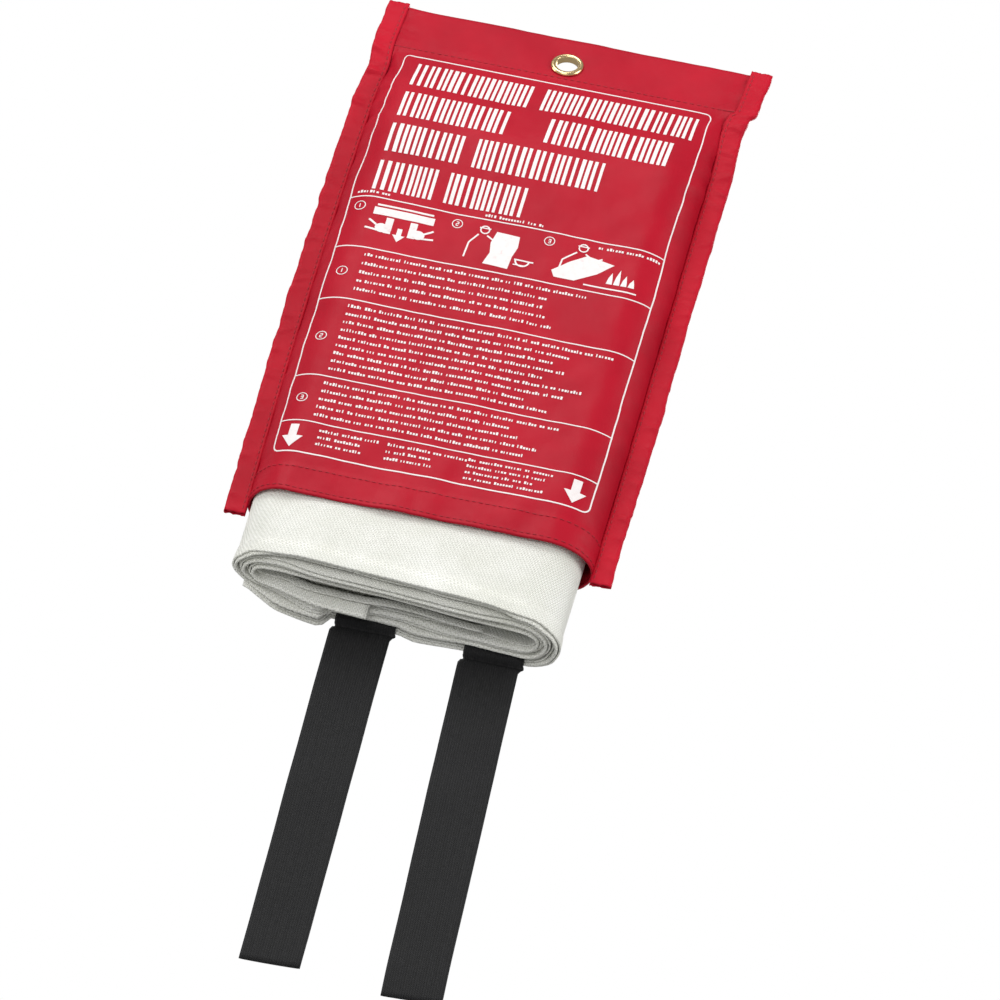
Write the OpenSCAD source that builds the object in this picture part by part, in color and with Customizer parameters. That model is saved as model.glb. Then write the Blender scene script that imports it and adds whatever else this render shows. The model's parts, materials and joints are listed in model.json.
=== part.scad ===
// Fire blanket in a soft hanging pouch.
// A coated-cloth pouch hangs by a two-part eyelet in its header. The folded blanket slides out
// of the open lower end, drawn by two woven pull straps that are sewn between its back layers.
// Frame: the origin is the eyelet's centre, +Z is up, the front of the pouch faces -Y.

/* [Pouch] */
// Width over both edge bindings
pouch_w = 190; // [184:1:196]
// Height of the header, from its seam to the top edge
header_h = 31; // [28:1:36]
// Distance from the top edge down to the eyelet's centre
eyelet_drop = 20; // [16:0.5:20]
// Lean of the header back towards the wall, in degrees
header_tilt = 15; // [0:1:18]
// Height of the pocket, from the header seam to the panels' lower edge
pocket_h = 282; // [270:1:300]
// Thickness of the filled pocket, outside
pocket_t = 40.6; // [40.6:0.2:46]
// Height over which the pocket swells from the header seam to its full thickness
taper = 40; // [24:1:42]
// Thickness of the coated cloth
cloth_t = 0.6; // [0.3:0.1:0.7]

/* [Edge binding] */
// Width of the folded tape that shows on each face
binding_w = 10.4; // [8:0.1:10.4]
// Thickness of the tape
binding_t = 0.5; // [0.3:0.1:0.6]
// How far the tape stands above the top edge
binding_top = 2.5; // [0:0.5:5]
// How far the tape hangs below the panels
binding_bottom = 5.5; // [0:0.5:10]

/* [Eyelet] */
// Radius of the open bore
bore_r = 5.5; // [4:0.1:5.6]
// Outer radius of the front flange and of the rear washer
flange_r = 8.1; // [7.8:0.1:9]
// Height of the domed flange above the cloth
dome_h = 1.3; // [0.8:0.1:2]

/* [Blanket] */
// Side of the square sheet before folding
sheet_side = 1000; // [990:10:1010]
// Number of layers that the sheet is folded into from top to bottom
fold_layers = 4; // [4:1:4]
// Width of the folded bundle
bundle_w = 166; // [150:1:166]
// Thickness of the folded bundle
bundle_t = 38; // [34:0.5:38]
// Slope of the bundle's ends across its width, in degrees
bundle_slope_x = 3.6; // [0:0.1:4]
// Slope of the bundle's ends from front to back, in degrees
bundle_slope_y = 8; // [0:0.5:10]
// How far the middle of the bundle hangs below the panels' lower edge
bundle_out = 42; // [36:1:60]
// How far the sewn ends of the straps lie behind the middle of the bundle
slot_back = 9; // [6:0.5:12]

/* [Pull straps] */
// Width of the woven tape
strap_w = 30; // [20:1:32]
// Thickness of the woven tape
strap_t = 1.2; // [0.8:0.1:1.4]
// Free length of each strap below its fold
strap_l = 199; // [120:1:260]
// Sideways place of the left strap's fold
left_strap_x = -17; // [-40:1:-17]
// Sideways place of the right strap's fold
right_strap_x = 48; // [16:1:48]
// Sideways lean of the left strap, in degrees
left_lean = 1.9; // [-2:0.1:4]
// Sideways lean of the right strap, in degrees
right_lean = 3.7; // [-2:0.1:4]

/* [Sewing] */
// Width of a row of thread
thread_w = 0.7; // [0.4:0.1:1]
// How far the thread stands above the cloth
thread_t = 0.3; // [0.2:0.05:0.4]
// Height of the front panel's lower hem
hem_h = 16; // [12:1:30]

/* [Hidden] */

gap = 0.05;                                        // between pieces that lie face to face
top_z = eyelet_drop * cos(header_tilt);            // top edge of the header
seam_z = top_z - header_h * cos(header_tilt);      // header seam
seam_y = seam_z * tan(header_tilt);                // plane of the side seams
mouth_z = seam_z - pocket_h;                       // lower edge of the panels
binding_top_z = top_z + binding_top * cos(header_tilt);
binding_bottom_z = mouth_z - binding_bottom;
panel_hw = pouch_w / 2 - binding_t - gap;          // half the width of a panel
pocket_hw = pouch_w / 2 - binding_w - 0.3;         // half the width of the pocket, outside
pocket_r = pocket_t / 2;                           // radius of the pocket's rounded sides, outside
row_step = 6;                                      // height of a panel's rows where it swells
arc_step = 10;                                     // degrees between the columns of a panel
thread_in = 3;                                     // the header's rows end this far inside the bindings
binding_thread_x = pouch_w / 2 - 8.6;              // side rows, on the tape
lower_row_up = 2.4;                                // lower hem row, above the edge
sunk_t = min(thread_t, cloth_t / 2);               // depth of the back hem's row, pulled into the cloth
eyelet_wall = 0.45;                                // wall of the eyelet's barrel
eyelet_fit = 0.3;                                  // from the barrel to the cloth
washer_t = 0.7;                                    // thickness of the rear washer
lip_t = 0.4;                                       // thickness of the lip rolled over it
lip_w = 1.5;                                       // width of that lip

bundle_h = sheet_side / fold_layers + 4;           // layers and the roundness of their folds
bundle_z = mouth_z - bundle_out;                   // middle of the bundle's lower end
bundle_r = bundle_t / 2;                           // radius of the bundle's folded sides
slot_y = seam_y + slot_back;                       // where the straps are sewn between the layers
slot_up = 40;                                      // how far a sewn end reaches up
slot_clear = 0.5;                                  // room round a sewn end and its thread
hinge_y = seam_y + bundle_r - 1;                   // where the straps fold downwards
fold_drop = 1.5;                                   // from the sewn end's flat run to the fold
bead_r = 0.8;                                      // radius of the fold
free_gap = 1.75;                                   // from the fold's centre to the free strap

red = "#c1272d";
deep_red = "#a81f26";
brass = "#d8b25a";
white = "#f1f1ec";
black = "#1d1d1f";

// ---- shapes shared by the pouch's pieces ----

// Y of the seam plane: upright beside the pocket, leaning back in the header
function plane_y(z) = seam_y + max(0, z - seam_z) * tan(header_tilt);

// Share of the full thickness that the pocket has at a height
function swell(z) = z >= seam_z ? 0 : sin(90 * min(1, (seam_z - z) / taper));

// Half section of the pocket at one height: straight between two rounded sides of radius r
function half_section(r, z, step) = [
    for (side = [-1, 1], t = side < 0 ? [180 : -step : 90] : [90 : -step : 0])
        [side * (pocket_hw - pocket_r) + r * cos(t), r * sin(t) * swell(z)]
];

// A row of a panel's points: a flat margin, the pocket, a flat margin
function row(z, side, r, lift) = [
    for (p = concat([[-panel_hw, 0]], half_section(r, z, arc_step), [[panel_hw, 0]]))
        [p.x, plane_y(z) + side * max(lift, p.y), z]
];

// Two triangles for each cell of a grid of points
function cells(rows, cols, first, flip) = [
    for (r = [0 : rows - 2], c = [0 : cols - 2])
        let (a = first + r * cols + c, b = a + 1, d = a + cols, e = d + 1)
            each flip ? [[a, e, b], [a, d, e]] : [[a, b, e], [a, e, d]]
];

// Two triangles for each step along a pair of edges
function rim(outer, inner, flip) = [
    for (i = [0 : len(outer) - 2])
        let (a = outer[i], b = outer[i + 1], c = inner[i], d = inner[i + 1])
            each flip ? [[a, b, d], [a, d, c]] : [[a, d, b], [a, c, d]]
];

// A panel: a sheet of cloth_t with flat margins and header, and a swelling pocket
module panel(side) {
    heights = concat(
        [top_z, seam_z],
        [for (z = [seam_z - row_step : -row_step : seam_z - taper]) z],
        [seam_z - taper - 1, (seam_z + mouth_z) / 2, mouth_z]
    );
    n = len(heights);
    outer = [for (z = heights) row(z, side, pocket_r, cloth_t)];
    inner = [for (z = heights) row(z, side, pocket_r - cloth_t, 0)];
    cols = len(outer[0]);
    half = n * cols;
    flip = side < 0;
    left = [for (r = [0 : n - 1]) r * cols];
    right = [for (r = [0 : n - 1]) r * cols + cols - 1];
    top = [for (c = [0 : cols - 1]) c];
    bottom = [for (c = [0 : cols - 1]) (n - 1) * cols + c];
    polyhedron(
        points = concat([for (r = outer) each r], [for (r = inner) each r]),
        faces = concat(
            cells(n, cols, 0, flip),
            cells(n, cols, half, !flip),
            rim(left, [for (i = left) i + half], !flip),
            rim(right, [for (i = right) i + half], flip),
            rim(top, [for (i = top) i + half], flip),
            rim(bottom, [for (i = bottom) i + half], !flip)
        )
    );
}

// Things placed in the header's own frame: z is the front normal
module in_header() {
    rotate([90 - header_tilt, 0, 0]) children();
}

module eyelet_hole() {
    in_header() cylinder(h = 8, r = bore_r + eyelet_wall + eyelet_fit, center = true, $fn = 12);
}

// A band that follows the seam plane from one height to another, extruded across x
module band(x, width, from_y, to_y, low_z, high_z) {
    path = [for (z = [low_z, seam_z, high_z]) [plane_y(z), z]];
    translate([x, 0, 0]) rotate([90, 0, 90])
        linear_extrude(height = width, center = true)
            polygon(concat(
                [for (p = path) [p.x + from_y, p.y]],
                [for (i = [2 : -1 : 0]) [path[i].x + to_y, path[i].y]]
            ));
}

// A row of thread round a panel's face, at one height below the taper, from one lift to another
module thread_round(z, side, from = gap, to = gap + thread_t, width = thread_w) {
    function face(lift) = [
        for (p = half_section(pocket_r + lift, z, arc_step / 2))
            if (abs(p.x) < pocket_hw - thread_in) [p.x, side * p.y]
    ];
    low = face(from);
    high = face(to);
    translate([0, seam_y, z]) linear_extrude(height = width, center = true)
        polygon(concat(low, [for (i = [len(high) - 1 : -1 : 0]) high[i]]));
}

// ---- pouch ----

module front_panel() {
    color(red) difference() {
        panel(-1);
        eyelet_hole();
    }
}

module back_panel() {
    color(red) difference() {
        translate([0, gap, 0]) panel(1);
        eyelet_hole();
        // groove that the hem's row is pulled into, so that the back lies flat on a wall
        translate([0, gap, 0]) thread_round(mouth_z + hem_h, 1, -sunk_t - gap, 1, thread_w + gap * 2);
    }
}

module edge_binding(side) {
    over = cloth_t + gap * 2;
    leg_w = binding_w;
    leg_x = side * (pouch_w / 2 - leg_w / 2);
    web_x = side * (pouch_w / 2 - binding_t / 2);
    color(deep_red) {
        band(leg_x, leg_w, -over - binding_t, -over, binding_bottom_z, binding_top_z);
        band(leg_x, leg_w, over, over + binding_t, binding_bottom_z, binding_top_z);
        band(web_x, binding_t, -over - binding_t, over + binding_t, binding_bottom_z, binding_top_z);
    }
}

module left_edge_binding() edge_binding(-1);
module right_edge_binding() edge_binding(1);

module eyelet_barrel() {
    cloth = cloth_t * cos(header_tilt) + gap * 2;
    rear = gap * 2 + washer_t + lip_t;
    color(brass) in_header() rotate_extrude($fn = 96) {
        // barrel
        translate([bore_r, -cloth - rear]) square([eyelet_wall, cloth * 2 + rear + dome_h - lip_t]);
        // domed front flange
        difference() {
            translate([(bore_r + flange_r) / 2, cloth]) scale([(flange_r - bore_r) / 2 / dome_h, 1])
                circle(r = dome_h, $fn = 64);
            translate([0, cloth - dome_h * 2]) square([flange_r * 2, dome_h * 2]);
        }
        // lip rolled over the washer
        translate([bore_r, -cloth - rear]) square([lip_w, lip_t]);
    }
}

module eyelet_washer() {
    cloth = cloth_t * cos(header_tilt) + gap * 2;
    color(brass) in_header() rotate_extrude($fn = 96)
        translate([bore_r + eyelet_wall + gap, -cloth - gap - washer_t])
            square([flange_r - bore_r - eyelet_wall - gap, washer_t]);
}

// ---- sewing on the pouch ----

module header_stitching() {
    z = seam_z + 1.8;
    reach = pouch_w / 2 - binding_w - thread_in;
    color(deep_red) for (side = [-1, 1])
        translate([0, plane_y(z) + side * (cloth_t + gap * 2 + thread_t / 2), z])
            rotate([-header_tilt, 0, 0])
                cube([reach * 2, thread_t * 0.7, thread_w], center = true);
}

module front_hem_upper_stitching() color(deep_red) thread_round(mouth_z + hem_h, -1);
module front_hem_lower_stitching() color(deep_red) thread_round(mouth_z + lower_row_up, -1);
module back_hem_stitching() {
    color(deep_red) translate([0, gap, 0]) thread_round(mouth_z + hem_h, 1, -sunk_t, -gap);
}

module binding_stitching(side) {
    face = cloth_t + gap * 3 + binding_t;
    low_z = binding_bottom_z + 2;
    high_z = binding_top_z - 2;
    color(red) {
        band(side * binding_thread_x, thread_w, -face - thread_t, -face, low_z, high_z);
        band(side * binding_thread_x, thread_w, face, face + thread_t, low_z, high_z);
    }
}

module left_binding_stitching() binding_stitching(-1);
module right_binding_stitching() binding_stitching(1);

// ---- blanket ----

module bundle_section() {
    straight = bundle_w / 2 - bundle_r;
    translate([0, seam_y]) {
        square([straight * 2, bundle_t], center = true);
        for (x = [-straight, straight]) translate([x, 0]) circle(r = bundle_r, $fn = 96);
    }
}

// Height of the bundle's lower end at a place
function bundle_low(x, y) = bundle_z - x * tan(bundle_slope_x) - (y - seam_y) * tan(bundle_slope_y);

// Height of the flat run of a strap's sewn end, just below the bundle's back edge
function run_z(x) = bundle_low(x + strap_w / 2, seam_y + bundle_r) - 0.3 - strap_t / 2;

module folded_blanket() {
    color(white) difference() {
        intersection() {
            translate([0, 0, bundle_z - 50]) linear_extrude(height = bundle_h + 100) bundle_section();
            translate([0, seam_y, bundle_z])
                rotate([-bundle_slope_y, bundle_slope_x, 0])
                    translate([-200, -100, 0]) cube([400, 200, bundle_h]);
        }
        for (x = [left_strap_x, right_strap_x])
            translate([x, slot_y, run_z(x) + slot_up / 2])
                cube([strap_w + 2 * slot_clear, strap_t + 2 * (thread_t + slot_clear), slot_up + 2 * slot_clear],
                     center = true);
    }
}

module blanket_hem_stitching() {
    y = seam_y - bundle_r - gap - thread_t / 2;
    reach = bundle_w / 2 - bundle_r;
    color("#d9d9d2")
        translate([0, y, bundle_low(0, y) + 8])
            rotate([0, bundle_slope_x, 0])
                cube([reach * 2, thread_t, thread_w], center = true);
}

// The end of a strap that is sewn between the layers. It runs back under them, then turns down
// into the fold that the free strap hangs from.
module strap_sewn_end(x) {
    color(black) translate([x, 0, run_z(x)]) {
        translate([-strap_w / 2, slot_y - strap_t / 2, -strap_t / 2]) cube([strap_w, strap_t, slot_up]);
        translate([-strap_w / 2, slot_y - strap_t / 2, -strap_t / 2])
            cube([strap_w, hinge_y - slot_y + strap_t, strap_t]);
        translate([-strap_w / 2, hinge_y - strap_t / 2, -fold_drop]) cube([strap_w, strap_t, fold_drop]);
        translate([0, hinge_y, -fold_drop]) rotate([0, 90, 0])
            cylinder(h = strap_w, r = bead_r, center = true, $fn = 48);
    }
}

module left_strap_sewn_end() strap_sewn_end(left_strap_x);
module right_strap_sewn_end() strap_sewn_end(right_strap_x);

// A sewn rectangle with a cross in it
module box_stitching(x) {
    box_w = strap_w - 6;
    box_h = 22;
    color("#3a3a3c")
        translate([x, slot_y - strap_t / 2 - gap - thread_t / 2, run_z(x) + slot_up - 4 - box_h / 2]) {
            for (s = [-1, 1]) {
                translate([s * box_w / 2, 0, 0]) cube([thread_w, thread_t, box_h + thread_w], center = true);
                translate([0, 0, s * box_h / 2]) cube([box_w, thread_t, thread_w], center = true);
                rotate([0, s * atan2(box_h, box_w), 0])
                    cube([norm([box_w, box_h]) - thread_w, thread_t, thread_w], center = true);
            }
        }
}

module left_strap_box_stitching() box_stitching(left_strap_x);
module right_strap_box_stitching() box_stitching(right_strap_x);

// ---- free straps ----

module pull_strap(x, lean) {
    color(black) translate([x, hinge_y, run_z(x) - fold_drop]) rotate([0, -lean, 0])
        translate([-strap_w / 2, -strap_t / 2, -strap_l]) cube([strap_w, strap_t, strap_l - free_gap]);
}

module left_pull_strap() pull_strap(left_strap_x, left_lean);
module right_pull_strap() pull_strap(right_strap_x, right_lean);

front_panel();
back_panel();
left_edge_binding();
right_edge_binding();
eyelet_barrel();
eyelet_washer();
header_stitching();
front_hem_upper_stitching();
front_hem_lower_stitching();
back_hem_stitching();
left_binding_stitching();
right_binding_stitching();
folded_blanket();
blanket_hem_stitching();
left_strap_sewn_end();
right_strap_sewn_end();
left_strap_box_stitching();
right_strap_box_stitching();
left_pull_strap();
right_pull_strap();
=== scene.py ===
"""A fire blanket in its hanging pouch: the looks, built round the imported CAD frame.

Lengths are metres. MM turns millimetres into metres, and a cloth's own flat coordinates (across, along)
are in millimetres, because its weave, print and seams are laid out on the flat cut.
"""
import json
import math
import random

import bmesh
import bpy
import numpy as np
from mathutils import Matrix, Vector


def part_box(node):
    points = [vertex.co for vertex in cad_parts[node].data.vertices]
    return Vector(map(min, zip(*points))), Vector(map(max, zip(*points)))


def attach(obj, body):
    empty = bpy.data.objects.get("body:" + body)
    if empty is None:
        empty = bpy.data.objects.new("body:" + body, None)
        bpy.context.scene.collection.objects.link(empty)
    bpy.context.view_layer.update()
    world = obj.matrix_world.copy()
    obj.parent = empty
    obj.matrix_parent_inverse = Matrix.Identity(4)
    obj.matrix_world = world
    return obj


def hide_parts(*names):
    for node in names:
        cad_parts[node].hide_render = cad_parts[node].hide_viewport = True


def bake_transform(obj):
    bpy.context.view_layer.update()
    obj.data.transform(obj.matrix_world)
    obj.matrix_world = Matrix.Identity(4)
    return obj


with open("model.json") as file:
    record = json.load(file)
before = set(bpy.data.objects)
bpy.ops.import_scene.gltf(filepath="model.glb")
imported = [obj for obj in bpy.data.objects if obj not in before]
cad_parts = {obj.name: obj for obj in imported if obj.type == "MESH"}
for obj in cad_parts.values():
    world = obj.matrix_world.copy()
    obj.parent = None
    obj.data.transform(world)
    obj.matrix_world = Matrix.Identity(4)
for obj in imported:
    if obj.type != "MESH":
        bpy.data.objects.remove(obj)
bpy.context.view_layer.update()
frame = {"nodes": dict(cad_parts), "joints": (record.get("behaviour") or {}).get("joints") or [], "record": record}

MM = 0.001
TAU = 2 * math.pi

# ---- sizes read from the frame, in millimetres ----


def box_mm(node):
    """The lowest and highest corners of a CAD node, in millimetres."""
    low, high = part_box(node)
    return np.array(low) / MM, np.array(high) / MM


FRONT_LOW, FRONT_HIGH = box_mm("front_panel")
BUNDLE_LOW, BUNDLE_HIGH = box_mm("folded_blanket")
BINDING_LOW, BINDING_HIGH = box_mm("right_edge_binding")
MOUNT = next(m for m in frame["record"]["mounts"] if m["name"] == "hanging_eyelet")
HINGES = {j["child"]: np.array(j["pos_m"]) / MM for j in frame["joints"] if j["type"] == "hinge"}

TILT = math.asin(MOUNT["axis"][2])                      # lean of the header
SEAM_Y = (BUNDLE_LOW[1] + BUNDLE_HIGH[1]) / 2           # plane of the side seams
SEAM_Z = SEAM_Y / math.tan(TILT)                        # header seam
TOP_Z = FRONT_HIGH[2]
MOUTH_Z = FRONT_LOW[2]                                  # lower edge of the panels
HEADER_H = (TOP_Z - SEAM_Z) / math.cos(TILT)
EYELET_DOWN = TOP_Z / math.cos(TILT)                    # to the eyelet's middle, down a panel's cut
POCKET_H = SEAM_Z - MOUTH_Z
POCKET_R = SEAM_Y - FRONT_LOW[1]                        # radius of the pocket's sides, outside
POCKET_HW = BINDING_LOW[0] - 0.3                        # half width of the pocket, outside
FLAT_HW = POCKET_HW - POCKET_R                          # half width of its flat face
PANEL_HW = FRONT_HIGH[0]
BUNDLE_HW = BUNDLE_HIGH[0]

# ---- sizes of the looks, in millimetres ----

TAPER = 69.0             # height over which the pocket swells
CLOTH_T = 0.45           # thickness of the coated cloth
HEM_H = 16.0             # height of the front panel's hem
HEM_T = 1.0              # thickness of a hem
TAPE_T = 0.45            # thickness of the binding tape
TAPE_LIFT = 1.0          # of a binding's leg above the seam plane
SIDE_ARC = POCKET_R * math.pi / 2
CUT_HW = FLAT_HW + SIDE_ARC + PANEL_HW - POCKET_HW      # half width of a panel's flat cut
CUT_H = HEADER_H + POCKET_H                             # height of a panel's flat cut
SHEET = 1000.0           # side of the blanket's square sheet
PLIES = 4                # accordion layers of the sheet, from top to bottom
STRAP_W = 30.0
STRAP_T = 1.1
STRAP_INNER = 12.9       # of a strap's sewn end behind the bundle's middle
STITCH_LIFT = 0.12       # of a stitch's middle above the cloth

# ---- small helpers ----


def smooth(x):
    """A smooth step from 0 to 1."""
    x = np.clip(x, 0, 1)
    return x * x * (3 - 2 * x)


def bump(x, centre, width):
    """A smooth bell of height 1."""
    return np.exp(-(((x - centre) / width) ** 2))


class Waves:
    """Smooth seeded noise from a sum of sines, from about -1 to 1, in one or two directions."""

    def __init__(self, seed, length, octaves=4):
        draw = np.random.RandomState(seed)
        self.rows = []
        for octave in range(octaves):
            for _ in range(3):
                angle = draw.uniform(0, TAU)
                size = TAU / (length / 1.7**octave) * draw.uniform(0.7, 1.3)
                phase = draw.uniform(0, TAU)
                self.rows.append((size * math.cos(angle), size * math.sin(angle), phase, 0.6**octave))
        self.total = sum(r[3] for r in self.rows) * 0.6

    def __call__(self, a, b=0.0):
        return sum(w * np.sin(ka * a + kb * b + phase) for ka, kb, phase, w in self.rows) / self.total


def make_object(name, verts_mm, faces, material, uv=None, soft=True):
    """A mesh object from points in millimetres. uv is one flat coordinate per point."""
    mesh = bpy.data.meshes.new(name)
    mesh.from_pydata((np.asarray(verts_mm) * MM).tolist(), [], [tuple(int(i) for i in f) for f in faces])
    mesh.update()
    if uv is not None:
        layer = mesh.uv_layers.new(name="cloth")
        index = np.zeros(len(mesh.loops), dtype=np.int32)
        mesh.loops.foreach_get("vertex_index", index)
        layer.data.foreach_set("uv", np.asarray(uv, dtype=np.float32)[index].ravel())
    mesh.polygons.foreach_set("use_smooth", [soft] * len(mesh.polygons))
    mesh.materials.append(material)
    piece = bpy.data.objects.new(name, mesh)
    bpy.context.scene.collection.objects.link(piece)
    return piece


def unit(v):
    return v / np.maximum(np.linalg.norm(v, axis=-1, keepdims=True), 1e-9)


def grid_normals(points):
    """Unit normals of a grid of points, as (along rows) x (along columns)."""
    return unit(np.cross(np.gradient(points, axis=1), np.gradient(points, axis=0)))


def shell(name, points, thick, material, uv, hole=None):
    """A closed sheet of cloth from a grid of its middle surface. hole marks the cells that are left out."""
    rows, cols = points.shape[:2]
    normal = grid_normals(points)
    half = (np.broadcast_to(thick, (rows, cols)) / 2)[..., None]
    verts = np.concatenate([(points + normal * half).reshape(-1, 3), (points - normal * half).reshape(-1, 3)])
    count = rows * cols
    index = np.arange(count).reshape(rows, cols)
    a, b, c, d = index[:-1, :-1], index[:-1, 1:], index[1:, 1:], index[1:, :-1]
    keep = np.ones((rows - 1, cols - 1), bool) if hole is None else ~hole
    top = np.stack([a[keep], b[keep], c[keep], d[keep]], 1)
    faces = [*top.tolist(), *(top[:, ::-1] + count).tolist(), *rim_faces(top, count)]
    used = np.unique(np.array(faces).ravel())
    renumber = np.zeros(len(verts), int)
    renumber[used] = np.arange(len(used))
    flat = np.concatenate([uv.reshape(-1, 2)] * 2)
    return make_object(name, verts[used], renumber[np.array(faces)], material, flat[used])


def rim_faces(faces, count):
    """Quads that join the open edges of a sheet's upper faces to its lower ones, count points further on."""
    edges = {(int(f[i]), int(f[(i + 1) % 4])) for f in faces for i in range(4)}
    return sorted((j, i, i + count, j + count) for i, j in edges if (j, i) not in edges)


def outward(piece):
    """Turns all faces of a closed mesh outwards."""
    work = bmesh.new()
    work.from_mesh(piece.data)
    bmesh.ops.recalc_face_normals(work, faces=work.faces)
    work.to_mesh(piece.data)
    work.free()
    return piece


# ---- materials ----


class Nodes:
    """A material's node tree, with short ways to add nodes."""

    def __init__(self, name):
        self.material = bpy.data.materials.new(name)
        self.material.use_nodes = True
        self.tree = self.material.node_tree
        self.shader = self.tree.nodes["Principled BSDF"]

    def add(self, kind, **inputs):
        node = self.tree.nodes.new(kind)
        for key, value in inputs.items():
            self.put(node.inputs[key.replace("_", " ")], value)
        return node

    def put(self, socket, value):
        if isinstance(value, bpy.types.NodeSocket):
            self.tree.links.new(value, socket)
        else:
            socket.default_value = value

    def math(self, operation, a, b=0.0):
        node = self.tree.nodes.new("ShaderNodeMath")
        node.operation = operation
        self.put(node.inputs[0], a)
        self.put(node.inputs[1], b)
        return node.outputs[0]

    def times(self, a, b):
        return self.math("MULTIPLY", a, b)

    def plus(self, a, b):
        return self.math("ADD", a, b)

    def cloth_axes(self):
        """The flat coordinates of the cloth, in millimetres."""
        axes = self.add("ShaderNodeSeparateXYZ", Vector=self.add("ShaderNodeUVMap").outputs["UV"])
        return axes.outputs["X"], axes.outputs["Y"]

    def wave(self, coordinate, period):
        return self.math("SINE", self.times(coordinate, TAU / period))

    def noise(self, scale, detail=3.0, roughness=0.6):
        place = self.add("ShaderNodeTexCoord").outputs["Object"]
        noise = self.add("ShaderNodeTexNoise", Vector=place, Scale=scale, Detail=detail, Roughness=roughness)
        return noise.outputs["Fac"]

    def colours(self, factor, stops):
        """A colour ramp over a factor: stops are (position, colour)."""
        ramp = self.add("ShaderNodeValToRGB", Fac=factor)
        elements = ramp.color_ramp.elements
        elements[0].position, elements[1].position = stops[0][0], stops[-1][0]
        elements[0].color, elements[1].color = (*stops[0][1], 1), (*stops[-1][1], 1)
        for position, colour in stops[1:-1]:
            elements.new(position).color = (*colour, 1)
        return ramp.outputs["Color"]

    def bumped(self, *layers):
        """Chains bump layers, each (height, strength, distance in mm)."""
        normal = None
        for height, strength, distance in layers:
            node = self.add("ShaderNodeBump", Height=height, Strength=strength, Distance=distance * MM)
            if normal is not None:
                self.put(node.inputs["Normal"], normal)
            normal = node.outputs["Normal"]
        self.put(self.shader.inputs["Normal"], normal)

    def finish(self, **values):
        for key, value in values.items():
            self.put(self.shader.inputs[key.replace("_", " ")], value)
        return self.material


def shade(colour, factor):
    return tuple(c * factor for c in colour)


def coated_cloth(name, colour, period=0.62, weave=0.22):
    """Coated nylon: a fine plain weave under a soft, slightly uneven shine."""
    n = Nodes(name)
    across, along = n.cloth_axes()
    plain = n.times(n.wave(across, period), n.wave(along, period))
    cloud = n.noise(26.0)
    crinkle = n.noise(240.0, 4.0)
    n.bumped((cloud, 0.35, 1.2), (crinkle, 0.16, 0.35), (plain, weave, 0.09))
    return n.finish(
        Base_Color=n.colours(cloud, [(0.25, shade(colour, 0.88)), (0.75, shade(colour, 1.1))]),
        Roughness=n.plus(n.times(crinkle, 0.16), 0.32),
        Specular_IOR_Level=0.1,
    )


def screen_print():
    """White ink over the weave, thin enough for some red to show in its hollows."""
    n = Nodes("screen_print")
    across, along = n.cloth_axes()
    plain = n.times(n.wave(across, 0.62), n.wave(along, 0.62))
    wear = n.noise(420.0, 5.0, 0.7)
    n.bumped((plain, 0.2, 0.08), (wear, 0.15, 0.1))
    stops = [(0.24, (0.68, 0.47, 0.47)), (0.4, (0.77, 0.71, 0.70)), (0.8, (0.81, 0.785, 0.775))]
    return n.finish(
        Base_Color=n.colours(wear, stops),
        Roughness=0.48, Specular_IOR_Level=0.4,
    )


def glass_cloth():
    """Woven glass fibre: a broken twill of flat yarns, matt with a faint silk. Its colour holds painted shade in
    the weave's hollows over a random cloudy tone.
    """
    n = Nodes("white_glass_fibre")
    across, along = n.cloth_axes()
    diagonal = n.wave(n.plus(across, n.times(along, 0.62)), 1.75)
    picks = n.wave(n.math("SUBTRACT", along, n.times(across, 0.3)), 1.15)
    crossed = n.times(diagonal, picks)
    weave = n.plus(n.times(crossed, 0.6), n.times(diagonal, 0.35))
    cloud = n.noise(34.0)
    fuzz = n.noise(900.0, 3.0)
    n.bumped((cloud, 0.3, 0.8), (weave, 0.8, 0.36), (fuzz, 0.25, 0.14))
    # painted shade: the colour darkens where the weave's relief is low, mixed with a random cloudy tone
    weave_shade_and_tone = n.plus(n.times(weave, 0.38), n.times(cloud, 0.8))
    stops = [(0.15, (0.70, 0.705, 0.63)), (0.5, (0.85, 0.85, 0.80)), (0.85, (0.915, 0.915, 0.88))]
    return n.finish(
        Base_Color=n.colours(weave_shade_and_tone, stops),
        Roughness=0.82, Specular_IOR_Level=0.3, Sheen_Weight=0.25, Sheen_Roughness=0.45,
    )


def webbing():
    """Black twill tape: narrow ribs along its length, crossed by slanting picks, with painted shade in the weave's
    hollows over a random fuzz of tone.
    """
    n = Nodes("black_webbing")
    across, along = n.cloth_axes()
    zigzag = n.math("PINGPONG", across, 2.4)
    picks = n.wave(n.plus(along, n.times(zigzag, 0.9)), 1.05)
    ribs = n.wave(across, 1.2)
    weave = n.plus(n.times(picks, 0.5), n.times(ribs, 0.5))
    fuzz = n.noise(1100.0, 3.0)
    cloud = n.noise(40.0)
    n.bumped((cloud, 0.3, 0.8), (weave, 0.7, 0.25), (fuzz, 0.3, 0.12))
    # painted shade: the colour darkens where the picks and ribs sink, mixed with a random fuzz of tone
    weave_shade_and_tone = n.plus(n.times(weave, 0.4), fuzz)
    return n.finish(
        Base_Color=n.colours(weave_shade_and_tone, [(0.2, (0.005, 0.005, 0.0052)), (0.85, (0.021, 0.021, 0.022))]),
        Roughness=0.75, Specular_IOR_Level=0.22, Sheen_Weight=0.12, Sheen_Roughness=0.4,
    )


def thread(name, colour):
    """Twisted thread."""
    n = Nodes(name)
    twist = n.noise(1500.0, 2.0)
    n.bumped((twist, 0.5, 0.1))
    return n.finish(
        Base_Color=n.colours(twist, [(0.3, shade(colour, 0.75)), (0.7, shade(colour, 1.15))]),
        Roughness=0.6, Specular_IOR_Level=0.35,
    )


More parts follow.
